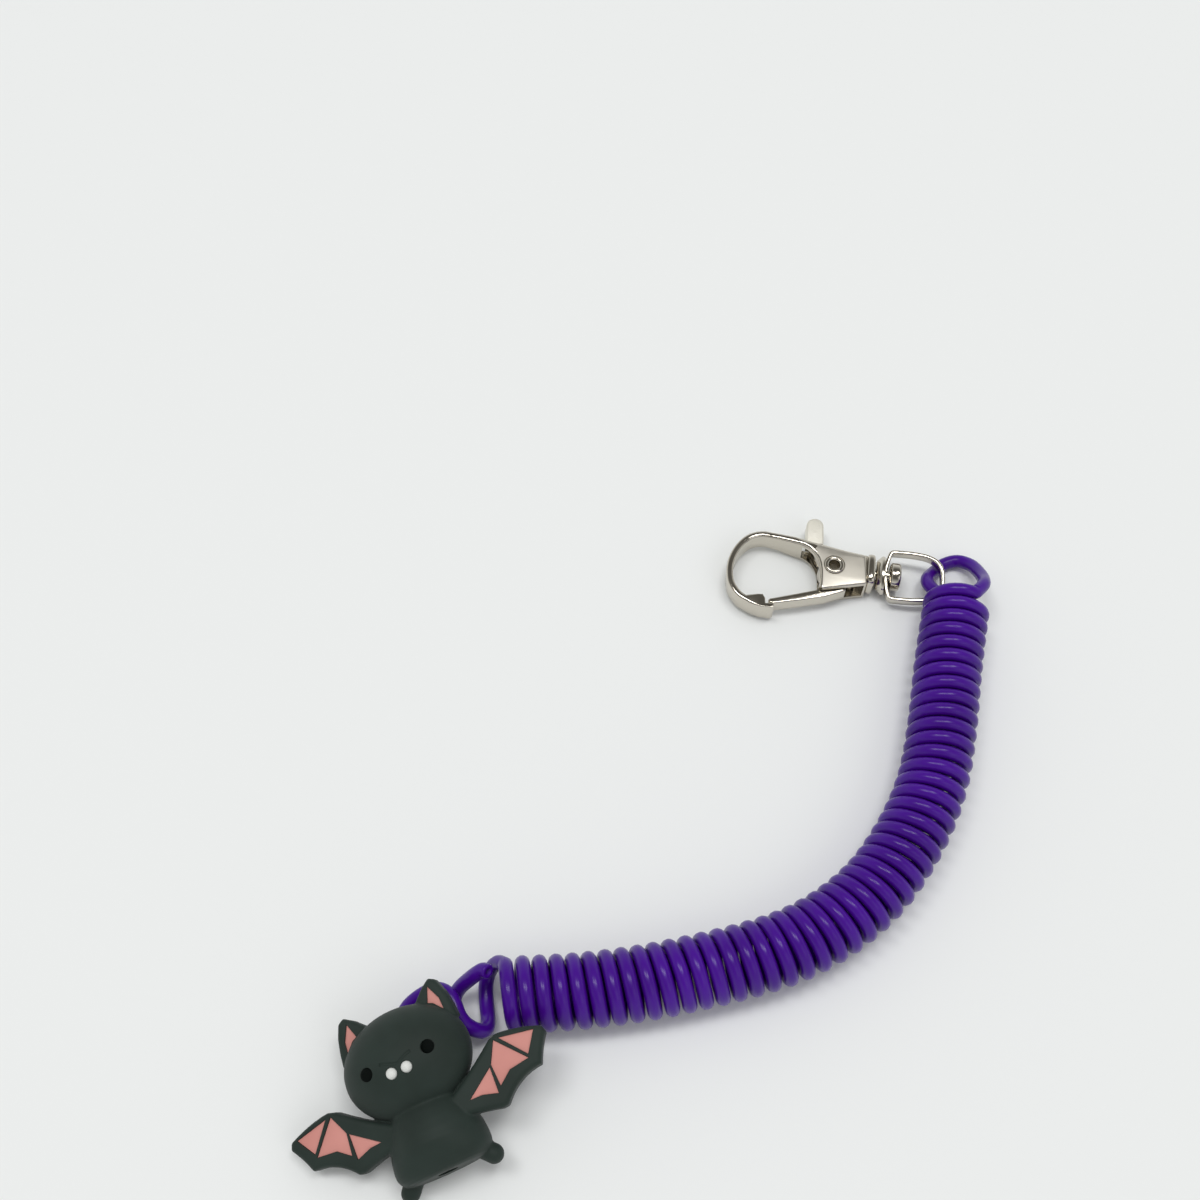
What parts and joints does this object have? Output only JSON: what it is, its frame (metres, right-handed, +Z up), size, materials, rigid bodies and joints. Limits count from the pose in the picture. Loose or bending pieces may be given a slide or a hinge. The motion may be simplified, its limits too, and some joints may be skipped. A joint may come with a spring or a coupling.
{
  "type": "knitting needle holder",
  "caption": "Coiled cord lanyard with a spring-gate swivel clasp at one end and a soft bat-shaped stopper at the other, bored through to hold a knitting needle.",
  "frame": {"origin": "on the table under the centre of the box round the clasp and the bat stopper, as the holder lies", "axes": "+Z up from the table, +Y away from the viewer towards the clasp, +X to the viewer's right"},
  "size_m": [0.1177, 0.12, 0.0159],
  "materials": {
    "purple_cord": "glossy moulded cord",
    "nickel": "bright nickel plate",
    "spring_steel": "drawn spring wire",
    "charcoal_silicone": "matte moulded silicone",
    "pink_silicone": "matte filled silicone",
    "black_silicone": "satin filled silicone",
    "white_silicone": "satin filled silicone"
  },
  "bodies": {
    "cord": {"coil_cord": "purple_cord"},
    "ring": {"swivel_ring": "nickel"},
    "clasp": {"clasp_body": "nickel", "pivot_rivet": "nickel", "swivel_rivet": "nickel", "lever_spring": "spring_steel"},
    "gate": {"gate_lever": "nickel"},
    "eye": {"tether_eye": "nickel"},
    "bat": {"bat_body": "charcoal_silicone", "ear_inlay_left": "pink_silicone", "ear_inlay_right": "pink_silicone", "wing_panel_outer_left": "pink_silicone", "wing_panel_middle_left": "pink_silicone", "wing_panel_inner_left": "pink_silicone", "wing_panel_outer_right": "pink_silicone", "wing_panel_middle_right": "pink_silicone", "wing_panel_inner_right": "pink_silicone", "eye_left": "black_silicone", "eye_right": "black_silicone", "fang_left": "white_silicone", "fang_right": "white_silicone"}
  },
  "joints": [
    {"name": "ring_swing", "type": "hinge", "parent": "cord", "child": "ring", "pos_m": [0.05474, 0.04675, 0.00342], "axis": [0.1375, 0.9781, 0.1564], "range_deg": [-15, 10]},
    {"name": "clasp_swivel", "type": "hinge", "parent": "ring", "child": "clasp", "pos_m": [0.04366, 0.04831, 0.00285], "axis": [0.9903, -0.1392, 0], "continuous": true},
    {"name": "gate_open", "type": "hinge", "parent": "clasp", "child": "gate", "pos_m": [0.03466, 0.04897, 0.00285], "axis": [0, 0, -1], "range_deg": [0, 25], "stiffness_Nm_per_rad": 0.03, "springref_deg": -11.46, "deforming": ["lever_spring"]},
    {"name": "coil_stretch", "type": "slide", "parent": "cord", "child": "eye", "axis": [-0.9981, -0.0621, 0], "range_m": [0, 0.06], "stiffness_N_per_m": 8, "deforming": ["coil_cord"]},
    {"name": "bat_swivel", "type": "hinge", "parent": "eye", "child": "bat", "pos_m": [-0.03507, -0.03409, 0.00229], "axis": [-0.1747, -0.1626, 0.9711], "range_deg": [-6, 3]}
  ]
}
